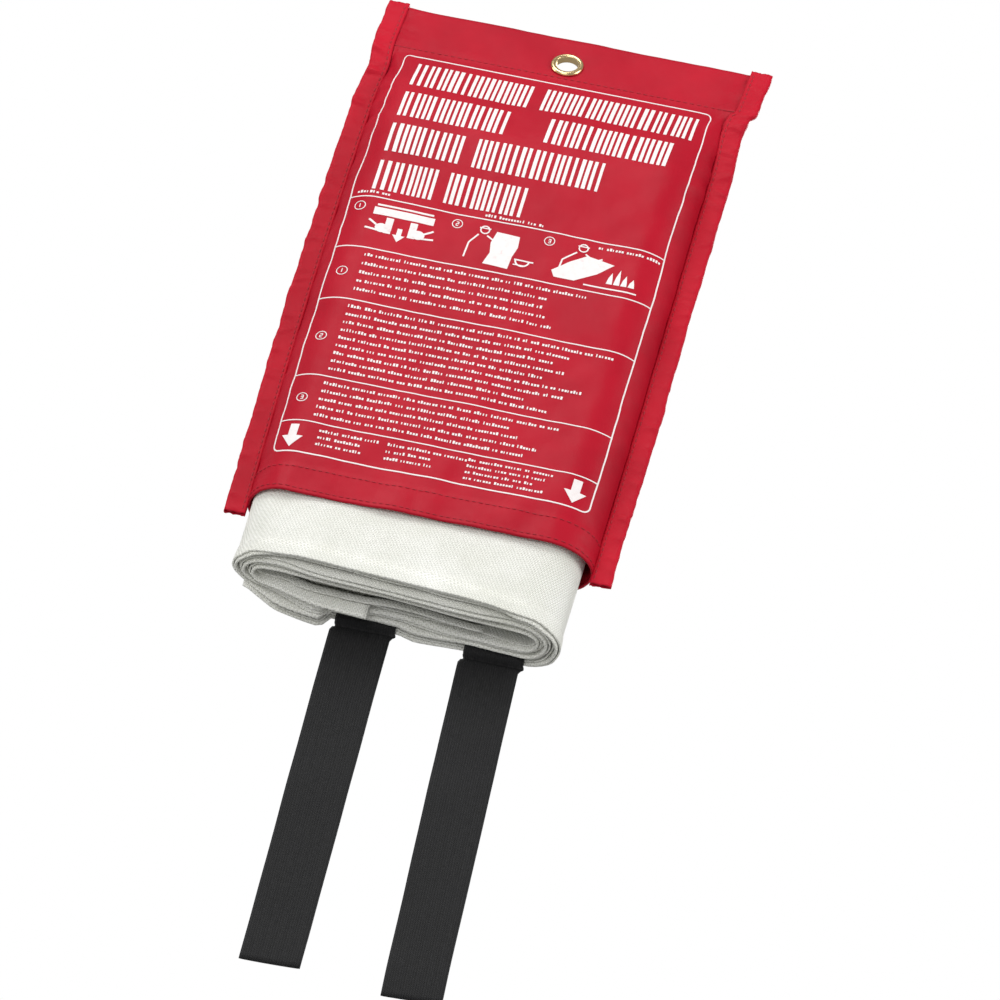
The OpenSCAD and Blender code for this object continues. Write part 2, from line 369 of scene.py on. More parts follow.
def brass():
    """Bright brass plating with fine handling marks."""
    n = Nodes("brass")
    marks = n.noise(700.0, 4.0, 0.7)
    cloud = n.noise(120.0)
    n.bumped((marks, 0.08, 0.08))
    return n.finish(
        Base_Color=n.colours(cloud, [(0.3, (0.66, 0.47, 0.22)), (0.7, (0.80, 0.62, 0.34))]),
        Metallic=1.0, Roughness=n.plus(n.times(marks, 0.16), 0.14),
    )


RED = (0.405, 0.0068, 0.0205)
TAPE_RED = (0.47, 0.0058, 0.021)
CLOTH = coated_cloth("red_coated_cloth", RED)
TAPE = coated_cloth("red_binding_tape", TAPE_RED, 0.5, 0.3)
PRINT = screen_print()
GLASS = glass_cloth()
WEBBING = webbing()
BRASS = brass()
RED_THREAD = thread("red_thread", (0.36, 0.012, 0.024))
WHITE_THREAD = thread("white_thread", (0.74, 0.73, 0.68))
BLACK_THREAD = thread("black_thread", (0.03, 0.03, 0.031))

# ---- the pouch's panels ----


def swell(z):
    """Share of the pocket's full thickness at a height."""
    return np.sin(math.pi / 2 * np.clip((SEAM_Z - z) / TAPER, 0, 1))


def plane_y(z):
    """Y of the seam plane: upright beside the pocket, leaning back in the header."""
    return SEAM_Y + np.maximum(0, z - SEAM_Z) * math.tan(TILT)


def outline(sign, z):
    """How far a side edge stands out of its straight line: drawn in below the header, bowed further down."""
    share = (SEAM_Z - z) / POCKET_H
    drawn = -1.3 * bump(z, SEAM_Z - 14, 11)
    if sign < 0:
        return drawn + 2.0 * np.sin(np.pi * np.clip(share, 0, 1)) * (share > 0)
    return drawn + 2.6 * smooth((z - SEAM_Z + 3) / 5) + 2.4 * smooth(share)


class Panel:
    """One panel of the pouch as a surface over its flat cut: across from the middle, down from the top."""

    def __init__(self, side, seed):
        self.side = side
        self.dents = Waves(seed, 75)
        self.small = Waves(seed + 1, 24)
        draw = random.Random(seed)
        self.puckers = [        # each (across, down, length, height) of a crease that starts at the header seam
            (sign * (CUT_HW - draw.uniform(10, 30)), HEADER_H + draw.uniform(0, 4), draw.uniform(18, 42),
             draw.choice([-1, 1]) * draw.uniform(0.25, 0.6)) for sign in (-1, 1) for _ in range(4)]

    def plain(self, across, down):
        """The panel pulled smooth over the blanket."""
        reach = np.abs(across)
        turn = np.clip((reach - FLAT_HW) / POCKET_R, 0, math.pi / 2)
        x = np.minimum(reach, FLAT_HW) + POCKET_R * np.sin(turn) + np.maximum(0, reach - FLAT_HW - SIDE_ARC)
        z = np.where(down < HEADER_H, TOP_Z - down * math.cos(TILT), SEAM_Z - (down - HEADER_H))
        edge = smooth((x - POCKET_HW + 22) / 22)
        x = x + edge * np.where(across < 0, outline(-1, z), outline(1, z))
        depth = POCKET_R * swell(z) * np.cos(turn)
        y = plane_y(z) + self.side * np.maximum(depth, CLOTH_T)
        return np.stack([np.sign(across) * x, y, z], -1)

    def creases(self, across, down):
        """How far soft dents and creases stand out of the plain surface."""
        loose = smooth((down - HEADER_H) / 30) * smooth((CUT_HW - 12 - np.abs(across)) / 14)
        header = smooth((HEADER_H - down) / 6) * smooth((CUT_HW - 14 - np.abs(across)) / 20)
        lift = 0.75 * loose * self.dents(across, down) + 0.16 * loose * self.small(across, down)
        mouth = smooth((down - CUT_H + 45) / 35)
        lift = lift + 0.5 * loose * mouth * self.small(across * 0.7 + 90, down * 0.15)
        lift = lift + 0.5 * header * self.dents(across * 1.3, down)
        edge = smooth((np.abs(across) - FLAT_HW - 8) / 12) * smooth((CUT_HW - 9 - np.abs(across)) / 5)
        upper = 1 + 1.5 * bump(down, HEADER_H + 34, 30)
        lift = lift + 0.52 * edge * upper * self.small(across * 0.4, down * 1.8)
        for place, start, run, size in self.puckers:
            away = np.abs(across - place - 0.45 * (down - start) * np.sign(-place))
            fade = smooth((down - start) / 5), smooth((start + run - down) / run)
            lift = lift + size * np.exp(-((away / 2.6) ** 2)) * fade[0] * fade[1]
        return lift

    def point(self, across, down, lift=0.0):
        """A point of the outer face, raised by lift along the normal."""
        across, down = np.broadcast_arrays(np.asarray(across, float), np.asarray(down, float))
        return self._raised(across, down) + self.normal(across, down) * np.asarray(lift)[..., None]

    def _raised(self, across, down):
        base = self.plain(across, down)
        step = 0.5
        right = self.plain(across + step, down) - self.plain(across - step, down)
        below = self.plain(across, down + step) - self.plain(across, down - step)
        normal = unit(np.cross(right, below)) * self.side
        hem = 0.22 * smooth((down - (CUT_H - HEM_H)) / 1.2)
        return base + normal * (self.creases(across, down) + hem)[..., None]

    def normal(self, across, down):
        step = 0.4
        right = self._raised(across + step, down) - self._raised(across - step, down)
        below = self._raised(across, down + step) - self._raised(across, down - step)
        return unit(np.cross(right, below)) * self.side


FRONT = Panel(-1, 11)
BACK = Panel(1, 23)


def open_eyelet(across, down):
    """Moves the cloth's grid outwards round the eyelet, so that its middle cells can be left out."""
    hole, reach = 6.4, 14.0          # radius of the opening, and of the cloth that moves to make room for it
    offset = np.stack([across, down - EYELET_DOWN], -1)
    far = np.linalg.norm(offset, axis=-1)
    new = np.where(far < reach, hole + far * (reach - hole) / reach, far)
    scale = np.where(far > 1e-6, new / np.maximum(far, 1e-6), 1)
    moved = offset * scale[..., None]
    return moved[..., 0], moved[..., 1] + EYELET_DOWN, far < 1e-6


def build_panel(panel, name):
    """The panel's cloth as a closed shell, with a thicker hem and an opening at the eyelet."""
    columns = np.concatenate([
        np.linspace(-CUT_HW, -FLAT_HW, 31)[:-1], np.linspace(-FLAT_HW, FLAT_HW, 77),
        np.linspace(FLAT_HW, CUT_HW, 31)[1:]])
    rows = np.concatenate([
        np.linspace(0, EYELET_DOWN, 13)[:-1], np.linspace(EYELET_DOWN, HEADER_H, 8)[:-1],
        np.linspace(HEADER_H, CUT_H - HEM_H, 152)[:-1], np.linspace(CUT_H - HEM_H, CUT_H, 17)])
    across, down = np.meshgrid(columns, rows)
    across, down, centre = open_eyelet(across, down)
    hole = centre[:-1, :-1] | centre[1:, :-1] | centre[:-1, 1:] | centre[1:, 1:]
    thick = CLOTH_T + (HEM_T - CLOTH_T) * smooth((down - (CUT_H - HEM_H)) / 1.2)
    middle = panel.point(across, down, -thick / 2)
    piece = shell(name, middle, thick, CLOTH, np.stack([across, down], -1), hole)
    return outward(piece)


# ---- stitches ----


def stitches(name, material, runs, pitch=3.3, length=2.5, radius=0.27):
    """Rows of separate stitches. Each run is a function from places to (points, normals), and a length."""
    sides = 6
    rings = [(-1.0, 0.0), (-0.82, 0.65), (-0.4, 1.0), (0.4, 1.0), (0.82, 0.65), (1.0, 0.0)]  # (along, width)
    verts, faces = [], []
    for line, total in runs:
        count = max(2, int(total / pitch))
        middle = (np.arange(count) + 0.5) * total / count
        points, normals = line(middle)
        ahead = unit(line(middle + 0.5)[0] - line(middle - 0.5)[0])
        aside = unit(np.cross(ahead, normals))
        for p, a, s, up in zip(points, ahead, aside, normals):
            first = len(verts)
            for along, wide in rings:
                for k in range(sides):
                    turn = TAU * k / sides
                    sunk = 0.12 * (abs(along) ** 3)
                    spread = s * math.cos(turn) + up * (math.sin(turn) * 0.8)
                    verts.append(p + a * (along * length / 2) + spread * (wide * radius + 0.02) - up * sunk)
            for r in range(len(rings) - 1):
                for k in range(sides):
                    q = (k + 1) % sides
                    faces.append((first + r * sides + k, first + r * sides + q,
                                  first + (r + 1) * sides + q, first + (r + 1) * sides + k))
            faces.append(tuple(first + k for k in range(sides - 1, -1, -1)))
            faces.append(tuple(first + (len(rings) - 1) * sides + k for k in range(sides)))
    return outward(make_object(name, verts, faces, material))


def row_across(panel, down, reach):
    """A row of stitches across a panel."""
    def line(s):
        across = s - reach
        level = np.full_like(across, down)
        return panel.point(across, level, STITCH_LIFT), panel.normal(across, level)

    return line, 2 * reach


# ---- edge bindings ----


class Binding:
    """A folded tape over a side seam. wide runs from the front leg's inner edge round to the back's."""

    def __init__(self, sign, seed):
        self.sign = sign
        draw = random.Random(seed)
        self.low, self.high = BINDING_LOW[2], BINDING_HIGH[2]
        self.leg = BINDING_HIGH[0] - BINDING_LOW[0]
        self.wrinkles = []
        z = self.low + 4
        while z < self.high - 3:
            near_top = SEAM_Z - 55 < z < SEAM_Z + 4
            size = draw.uniform(0.16, 0.6) * (2.1 if near_top else 1.0)
            width, slant = draw.uniform(0.9, 2.2), draw.uniform(-0.5, 0.5)
            self.wrinkles.append((z, width, size, slant, draw.random() < 0.5))
            z += draw.uniform(2.5, 9.0) * (0.6 if near_top else 1.0)
        self.edge = Waves(seed, 40)
        self.fine = Waves(seed + 1, 12)
        self.total = 2 * self.leg + math.pi * TAPE_LIFT - 2 * TAPE_LIFT

    def place(self, wide, z):
        """The tape's middle surface."""
        wide, z = np.broadcast_arrays(np.asarray(wide, float), np.asarray(z, float))
        straight = self.leg - TAPE_LIFT
        turn = np.clip((wide - straight) / TAPE_LIFT, 0, math.pi)
        beyond = np.maximum(0, wide - straight - math.pi * TAPE_LIFT)
        x = BINDING_LOW[0] + np.minimum(wide, straight) + TAPE_LIFT * np.sin(turn) - beyond
        y = -TAPE_LIFT * np.cos(turn)
        outer = smooth((x - BINDING_LOW[0]) / self.leg)
        lift = np.zeros_like(x)
        for centre, width, size, slant, front in self.wrinkles:
            face = np.where(np.cos(turn) > 0, 1.0, 0.6) if front else np.where(np.cos(turn) > 0, 0.6, 1.0)
            ridge = bump(z + slant * (x - BINDING_LOW[0]), centre, width)
            lift = lift + size * face * (0.25 + 0.75 * outer) * ridge
        x = x + 0.45 * outer * self.edge(z) + 0.25 * outer * self.fine(z) - TAPE_T / 2
        y = y * (1 + lift) + 0.35 * outer * self.edge(z * 0.7 + 50)
        return np.stack([self.sign * (x + outline(self.sign, z)), plane_y(z) + y, z], -1)

    def build(self, name):
        straight = self.leg - TAPE_LIFT
        across = np.concatenate([
            np.linspace(0, straight, 12)[:-1], np.linspace(straight, straight + math.pi * TAPE_LIFT, 9)[:-1],
            np.linspace(straight + math.pi * TAPE_LIFT, self.total, 12)])
        heights = np.linspace(self.high, self.low, 290)
        wide, z = np.meshgrid(across, heights)
        ragged = 0.5 * self.fine(wide * 3, 7)
        z = z + ragged * (smooth((z - self.high + 4) / 4) + smooth((self.low + 4 - z) / 4))
        piece = shell(name, self.place(wide, z), TAPE_T, TAPE, np.stack([wide, z], -1))
        return outward(piece)

    def row(self, front):
        """The seam's stitches on one leg."""
        inset = 1.8
        wide = inset if front else self.total - inset

        def line(s):
            z = self.high - 2 - s
            point = self.place(np.full_like(z, wide), z)
            normal = np.zeros_like(point)
            normal[:, 1] = -1 if front else 1
            return point + normal * (TAPE_T / 2 + 0.1), normal
        return line, self.high - self.low - 4


# ---- the printed face ----


INK_CELL = 1.8           # side of a quad of ink
INK_T = 0.15             # how far ink stands out of the cloth


class Ink:
    """Flat shapes on the front panel's cut, each built from quads small enough to follow the cloth."""

    def __init__(self):
        self.points, self.faces, self.steps, self.shapes = [], [], [], 0

    def patch(self, corner, cols, rows):
        """A grid of quads: corner(i, j) gives its points."""
        first = len(self.points)
        self.shapes += 1
        for j in range(rows + 1):
            for i in range(cols + 1):
                self.points.append(corner(i / cols, j / rows))
                self.steps.append(self.shapes % 5)
        for j in range(rows):
            for i in range(cols):
                a = first + j * (cols + 1) + i
                self.faces.append((a, a + 1, a + cols + 2, a + cols + 1))

    def bar(self, x, y, w, h):
        """An upright rectangle from its top left corner."""
        cols, rows = max(1, round(w / INK_CELL)), max(1, round(h / INK_CELL))
        self.patch(lambda i, j: (x + w * i, y + h * j), cols, rows)

    def line(self, points, width):
        """A line of some width along points."""
        for (ax, ay), (bx, by) in zip(points, points[1:]):
            run = math.hypot(bx - ax, by - ay)
            nx, ny = -(by - ay) / run * width / 2, (bx - ax) / run * width / 2
            self.patch(
                lambda i, j: (ax + (bx - ax) * i + nx * (2 * j - 1), ay + (by - ay) * i + ny * (2 * j - 1)),
                max(1, round(run / 2)), 1)

    def ring(self, x, y, radius, width, start=0.0, end=360.0):
        """A ring or a part of one."""
        def corner(i, j):
            turn = math.radians(start + (end - start) * i)
            r = radius + width * (j - 0.5)
            return x + r * math.cos(turn), y + r * math.sin(turn)
        self.patch(corner, max(6, round(radius * abs(end - start) / 60)), 1)

    def disc(self, x, y, rx, ry):
        """A filled ellipse."""
        self.patch(lambda i, j: (x + rx * j * math.cos(TAU * i), y + ry * j * math.sin(TAU * i)), 16, 2)

    def band(self, left, right):
        """A filled shape between two edges with the same number of points."""
        for (a, b), (c, d) in zip(zip(left, left[1:]), zip(right, right[1:])):
            across = max(math.dist(a, c), math.dist(b, d))
            along = max(math.dist(a, b), math.dist(c, d))
            self.patch(lambda i, j: (
                (a[0] * (1 - j) + b[0] * j) * (1 - i) + (c[0] * (1 - j) + d[0] * j) * i,
                (a[1] * (1 - j) + b[1] * j) * (1 - i) + (c[1] * (1 - j) + d[1] * j) * i),
                max(2, round(across / INK_CELL)), max(2, round(along / INK_CELL)))

    def build(self, name, panel, lift):
        """Lays the shapes on the panel as thin closed pieces."""
        flat = np.array(self.points)
        step = np.array(self.steps) * 0.008
        top = panel.point(flat[:, 0], flat[:, 1], lift + step)
        under = panel.point(flat[:, 0], flat[:, 1], 0.02 + step)
        count = len(flat)
        under_faces = [tuple(i + count for i in reversed(f)) for f in self.faces]
        faces = [*self.faces, *under_faces, *rim_faces(self.faces, count)]
        return outward(make_object(name, np.concatenate([top, under]), faces, PRINT,
                                   np.concatenate([flat, flat]), soft=False))


FRAME_HW = 78.5          # half width of the printed frame
FRAME_TOP = 35.5         # down the cut
FRAME_BOTTOM = 290.0
RULES = [134.5, 164.5, 196.5, 243.5, 271.5]     # the lines that divide the frame


def print_frame(ink):
    corner = 4.0
    width = 0.75
    sides = [((-1, -1), 180), ((1, -1), 270), ((1, 1), 0), ((-1, 1), 90)]
    for (sx, sy), start in sides:
        x = sx * (FRAME_HW - corner)
        y = (FRAME_TOP + FRAME_BOTTOM) / 2 + sy * ((FRAME_BOTTOM - FRAME_TOP) / 2 - corner)
        ink.ring(x, y, corner, width, start, start + 90)
    for s in (-1, 1):
        ink.line([(s * FRAME_HW, FRAME_TOP + corner), (s * FRAME_HW, FRAME_BOTTOM - corner)], width)
    for y in (FRAME_TOP, FRAME_BOTTOM):
        ink.line([(-FRAME_HW + corner, y), (FRAME_HW - corner, y)], width)
    for y in RULES:
        ink.line([(-FRAME_HW, y), (FRAME_HW, y)], 0.6)


def print_heading(ink, draw):
    """Four lines of plain upright strokes, where a real pouch carries its name in large letters."""
    cap, pitch, first = 17.8, 23.6, 41.2
    lines = [[(-69, -10), (-4, 73)], [(-69, -14), (4, 68)], [(-69, -30), (-26, 38)], [(-69, -38), (-34, 6)]]
    for row, words in enumerate(lines):
        for left, right in words:
            x = left
            while x < right - 1.4:
                stroke = draw.choice([1.45, 1.6, 1.6, 1.9])
                ink.bar(x, first + row * pitch, min(stroke, right - x), cap)
                x += stroke + draw.choice([1.1, 1.25, 2.0])


def print_text(ink, draw, left, right, top, rows, pitch, size, fill=1.0):
    """Rows of small ticks in groups, where a real pouch carries its instructions."""
    for row in range(rows):
        end = left + (right - left) * min(1.0, fill * draw.uniform(0.72, 1.0))
        x = left
        while x < end - 2:
            for _ in range(draw.randint(2, 9)):
                tall = draw.choice([0.72, 0.72, 0.72, 1.0])
                ink.bar(x, top + row * pitch + size * (1 - tall), draw.choice([0.55, 0.95, 1.05]), size * tall)
                x += 1.45
            x += 1.2


def print_digit(ink, x, y, digit):
    """A plain 1, 2 or 3."""
    w, h, t = 1.1, 2.2, 0.42
    strokes = {
        1: [[(0, -h / 2), (0, h / 2)]],
        2: [[(-w / 2, -h / 2), (w / 2, -h / 2), (w / 2, 0), (-w / 2, 0), (-w / 2, h / 2), (w / 2, h / 2)]],
        3: [[(-w / 2, -h / 2), (w / 2, -h / 2), (w / 2, h / 2), (-w / 2, h / 2)], [(-w / 2, 0), (w / 2, 0)]],
    }[digit]
    for stroke in strokes:
        ink.line([(x + a, y + b) for a, b in stroke], t)
    ink.ring(x, y, 2.5, 0.4)


def down_arrow(ink, x, y, size):
    """A solid arrow that points to the open end."""
    w = size * 0.3
    ink.bar(x - w / 2, y, w, size * 0.5)
    wing, neck, tip = size * 0.38, y + size * 0.5, (x, y + size)
    ink.band([(x - wing, neck), tip], [(x + wing, neck), tip])


def pull_pictogram(ink, x, y):
    """A pouch with two straps, an arrow between them and a hand on each."""
    ink.bar(x - 14, y, 28, 1.0)
    ink.bar(x - 15, y + 2.0, 30, 4.2)
    for s in (-1, 1):
        ink.bar(x + s * 6 - 1.8, y + 7.2, 3.6, 9)
        ink.disc(x + s * 9.2, y + 13.5, 3.2, 2.6)
        ink.line([(x + s * 11, y + 12.8), (x + s * 16, y + 9.5)], 1.0)
        ink.line([(x + s * 11, y + 15.2), (x + s * 17, y + 14.5)], 1.0)
    down_arrow(ink, x, y + 12, 8)


def person(ink, x, y, lean):
    """A plain figure: head, back and arm."""
    ink.ring(x, y, 2.2, 0.65)
    ink.line([(x - 2.8, y - 0.9), (x + 2.8, y - 0.9)], 0.6)
    ink.line([(x - 2.5, y + 3.2), (x - 6 * lean, y + 9), (x - 6.5 * lean, y + 18)], 0.8)
    ink.line([(x + 1.8, y + 3.2), (x + 7, y + 6.4), (x + 10.5, y + 4.4)], 0.8)


def pan_pictogram(ink, x, y):
    """A figure that lowers a sheet over a pan."""
    person(ink, x - 10, y + 3.0, 1.0)
    left = [(x - 4, y + 3.0), (x - 5.5, y + 10), (x - 4.5, y + 16), (x - 6.5, y + 23)]
    right = [(x + 7.5, y + 3.6), (x + 8, y + 10), (x + 6.5, y + 16), (x + 6, y + 23.5)]
    ink.band(left, right)
    ink.ring(x + 12, y + 17, 3.4, 0.8, 0, 180)
    ink.line([(x + 8, y + 17), (x + 17.5, y + 17)], 0.8)
    ink.line([(x + 8, y + 20), (x + 14, y + 20)], 0.6)


def floor_pictogram(ink, x, y):
    """A figure that draws a sheet over low flames."""
    person(ink, x - 7, y + 2.0, 1.4)
    left = [(x - 4, y + 6), (x - 12, y + 12), (x - 19, y + 18.5), (x - 17, y + 22)]
    right = [(x + 10, y + 8.5), (x + 3, y + 15.5), (x - 4, y + 20), (x - 7, y + 22)]
    ink.band(left, right)
    for k, height in enumerate((7.0, 9.5, 6.5, 5.0)):
        fx, fy = x + 10 + 3.6 * k, y + 20
        ink.band([(fx - 1.5, fy), (fx - 1.0, fy - height * 0.5), (fx + 0.3, fy - height)],
                 [(fx + 1.5, fy), (fx + 1.1, fy - height * 0.45), (fx + 0.3, fy - height)])
    ink.line([(x - 2, y + 23), (x + 24, y + 23)], 0.8)


def build_print():
    ink = Ink()
    draw = random.Random(5)
    print_frame(ink)
    print_heading(ink, draw)
    for left, right, below, size in ((-75, -52, -3.6, 1.5), (-12, 22, -3.2, 1.5), (46, 74, 2.4, 1.6)):
        print_text(ink, draw, left, right, RULES[0] + below, 1, 3, size)
    pull_pictogram(ink, -50, RULES[0] + 3.5)
    pan_pictogram(ink, 0, RULES[0] + 3.0)
    floor_pictogram(ink, 46, RULES[0] + 3.5)
    for digit, x in zip((1, 2, 3), (-72, -24, 22)):
        print_digit(ink, x, RULES[0] + 5.5, digit)
    blocks = [(RULES[1], 5, 5.3), (RULES[2], 9, 4.75), (RULES[3], 5, 4.8)]
    for digit, (top, rows, pitch) in enumerate(blocks, 1):
        print_text(ink, draw, -63, 74, top + 3.2, rows, pitch, 1.7, 0.95)
        print_digit(ink, -71, top + rows * pitch / 2 + 2, digit)
    for x in (-70, 70):
        down_arrow(ink, x, RULES[4] + 2.5, 13.5)
    for left, right in ((-58, -28), (-24, 8)):
        print_text(ink, draw, left, right, RULES[4] + 3.2, 3, 4.0, 1.6)
    print_text(ink, draw, 16, 58, RULES[4] + 2.6, 4, 3.6, 1.5)
    return ink.build("front_print", FRONT, INK_T)


# ---- the folded blanket ----

PLY_OFFSETS = [0.95, 0.32, -0.32, -0.95]   # of the folded strip's plies from its middle
GLASS_T = 0.42           # thickness of the cloth
EDGE_HEM_H = 9.0         # height of the sheet's hems
EDGE_HEM_T = 0.85        # thickness of the hems
LEVELS = [-16.6, -12.4, -8.2, 1.6, 6.7, 10.5, 16.1]    # the strip's layers, behind the middle
FREE_LEVEL = 3           # the layer that the strip starts on
LEFT_X = 15.7 - BUNDLE_HW    # where the left hairpins turn
RIGHT_X = BUNDLE_HW - 18.5   # where the right hairpins turn
FREE_X = 44.0            # where the inner end of the strip's front ply lies
STAGGER = 57.0           # how much further left the other plies end
# lower edges of the layers from front to back: place behind the middle, height at x = 0
LOW_Y = [-18.4, -16.0, -14.6, -10.6, -7.4, 0.2, 3.0, 5.4, 7.4, 11.0, 16.0]
LOW_Z = [-331.6, -331.9, -335.6, -335.0, -334.4, -335.2, -335.6, -333.4, -335.6, -336.9, -337.1]
LOW_END_Z = [-331.6, -332.2, -332.5, -333.2, -333.8, -334.8, -335.2, -335.4, -335.8, -336.9, -337.1]   # ends
LOW_SLOPE = math.tan(math.radians(3.3))


def winding():
    """The folded strip's flat spiral, seen from above: points, its outward side, and the length along it."""
    order = [FREE_LEVEL, 2, 4, 1, 5, 0, 6]       # the levels in the order that the strip fills them
    path = []
    x = FREE_X
    for step, level in enumerate(order):
        left = step % 2 == 0
        end = LEFT_X if left else RIGHT_X
        last = step == len(order) - 1
        if last:
            end = LEFT_X - 9
        count = max(3, round(abs(end - x) / 5.5))
        for k in range(count + last):
            place = x + (end - x) * k / count
            path.append((place, LEVELS[level] - 4.8 * last * float(smooth((LEFT_X + 9 - place) / 18))))
        x = end
        if step < len(order) - 1:
            above, below = LEVELS[level], LEVELS[order[step + 1]]
            centre, radius = (above + below) / 2, abs(below - above) / 2
            count = max(8, round(radius * math.pi / 2.4))
            sign = -1 if left else 1
            start = math.copysign(1, above - centre)
            for k in range(count):
                turn = math.pi * k / count
                path.append((x + sign * radius * math.sin(turn), centre + start * radius * math.cos(turn)))
    points = np.array(path)
    ahead = unit(np.gradient(points, axis=0))
    outside = np.stack([ahead[:, 1], -ahead[:, 0]], -1)      # this side of the strip faces out of the spiral
    run = np.concatenate([[0], np.cumsum(np.linalg.norm(np.diff(points, axis=0), axis=1))])
    return points, outside, run


def ply_profile():
    """The accordion from the outer hem to the inner one: (side offset, height, flat distance)."""
    heights = np.array([0, 0.6, 1.6, 3.2, 5.2, 7.4, 9.0, 10.4, 13, 18, 25, 34, 45, 70, 110, 160, 205, 232,
                        244, 248])
    turn = 2.0                                    # length of cloth in a fold
    ply_h = (SHEET - turn * (PLIES - 1)) / PLIES
    profile = []
    for ply, offset in enumerate(PLY_OFFSETS):
        rising = ply % 2 == 0                     # this ply starts at the bottom
        run = heights if rising else heights[::-1]
        travel = run / heights[-1] if rising else 1 - run / heights[-1]
        first = ply * (ply_h + turn)
        if ply:
            edge, way = (-0.3, -1) if rising else (248.6, 1)
            middle, reach = (offset + PLY_OFFSETS[ply - 1]) / 2, (PLY_OFFSETS[ply - 1] - offset) / 2
            for k in range(1, 5):
                angle = math.pi * k / 5
                profile.append((middle + reach * math.cos(angle), edge + way * 0.6 * math.sin(angle),
                                first - turn * (1 - k / 5)))
        profile += [(offset, h, first + ply_h * t) for h, t in zip(run, travel)]
    return np.array(profile)


def build_blanket():
    """The whole sheet: folded in four from top to bottom, then wound into a flat spiral."""
    points, outside, run = winding()
    offset, height, flat = ply_profile().T
    offset = offset * (1 + 0.75 * smooth((11 - height) / 10))    # hems and folds spread at the lower end
    stretch = np.linspace(0, 1, 330)
    s, q = np.meshgrid(stretch * SHEET, flat)
    start = STAGGER * (1 - smooth((q - 0.77 * SHEET) / 150))
    place = start + stretch[None, :] * (run[-1] - start)
    px, py, ox, oy = (np.interp(place, run, values) for values in (*points.T, *outside.T))
    side = np.repeat(offset[:, None], len(stretch), 1)
    up = np.repeat(height[:, None], len(stretch), 1)
    wobble, ragged, fold_wave = Waves(41, 110), Waves(43, 75), Waves(47, 60)
    near_end = smooth((60 - up) / 60)
    free_end = smooth((130 - place) / 60) * (side > -1.2)     # the thick pack at the strip's inner end
    shift = side * (1 + near_end * 0.8 * free_end) + 0.35 * near_end * wobble(s, side * 14)
    x, y = px + ox * shift, py + oy * shift
    y = y * (1 - 0.20 * smooth((up - 215) / 40))
    inside = np.clip(1 - np.abs(y) / 14, 0, 1)      # 1 in the middle of the bundle, 0 near its faces
    y = y + near_end * (1.3 * fold_wave(x, 0) * inside + 1.0 * free_end)
    y = y * (1 + 0.07 * near_end * smooth((-y - 13.5) / 2))
    level = y
    squeeze = 0.42 * smooth((-36 - x) / 40) + 0.1 * smooth((x - 52) / 30)
    lean = 0.36 * smooth((-44 - x) / 46) + 0.34 * smooth((x - 36) / 46)
    y = y - (np.maximum(y, 0) * squeeze + np.minimum(y, 0) * lean) * near_end
    fray = ragged(s * 1.6, side * 9 + 300)
    hem_side, seam_side = side > 1.2, side < -1.2
    recess = 0.5 * ragged(s, 0) * inside + 0.4 * fray
    recess = recess + 1.3 * seam_side * (place > STAGGER + 40) + 0.5 * hem_side - 6.0 * free_end
    near_strap = smooth((y - 7.5) / 1.5)
    recess = recess * (1 - near_strap) + np.maximum(0, 0.3 + 0.4 * fray) * near_strap
    outer = smooth((-y - 14) / 2)
    recess = recess * (1 - outer) + (0.35 * fray + 1.6 - 1.6 * hem_side) * outer
    droop = 6.2 * smooth((-32.6 - x) / 4) * smooth((x + 82) / 26) * smooth((y - 4) / 5)
    droop = droop + 1.7 * smooth(x / 10) * smooth((36 - x) / 24) * smooth((y - 6) / 4)
    ends = smooth((np.abs(x) - 38) / 26)
    low = np.interp(level, LOW_Y, LOW_Z) * (1 - ends) + np.interp(level, LOW_Y, LOW_END_Z) * ends
    low = low - x * LOW_SLOPE - droop
    grid = np.stack([x, SEAM_Y + y, low + up + recess * smooth((120 - up) / 120)], -1)
    hems = smooth((EDGE_HEM_H - q) / 0.8) + smooth((q - SHEET + EDGE_HEM_H) / 0.8)
    hems = np.clip(hems + smooth((EDGE_HEM_H - s) / 0.8) + smooth((s - SHEET + EDGE_HEM_H) / 0.8), 0, 1)
    thick = GLASS_T + (EDGE_HEM_T - GLASS_T) * hems
    piece = outward(shell("folded_blanket_cloth", grid, thick, GLASS, np.stack([s, q], -1)))
    return piece, grid, s, q


# ---- the pull straps ----


def strap_route(body):
    """The strap's path from its sewn end to below its fold, as (y, z), and the height of its cut end."""
    hinge = HINGES[body]
    inner_y = SEAM_Y + STRAP_INNER
    back_y = hinge[1] + 0.4
    shelf_z = hinge[2] + 1.5                     # the strap runs back under the layers at this height
    low = box_mm(body.replace("strap", "pull_strap"))[0][2]
    corner, fold = 1.4, 0.75                     # radii of the strap's two turns
    path = [(inner_y, shelf_z + 38), (inner_y, shelf_z + 20), (inner_y, shelf_z + corner)]
    path += [(inner_y + corner * (1 - math.cos(t)), shelf_z + corner * (1 - math.sin(t)))
             for t in np.linspace(0.3, math.pi / 2, 4)]
    path += [(inner_y + (back_y - inner_y) * k, shelf_z - 0.3 * math.sin(k * math.pi))
             for k in (0.4, 0.65, 0.85)]
    path += [(back_y + fold * math.sin(t), shelf_z - fold * (1 - math.cos(t)))
             for t in np.linspace(0.2, math.pi / 2, 4)]
    return path, low


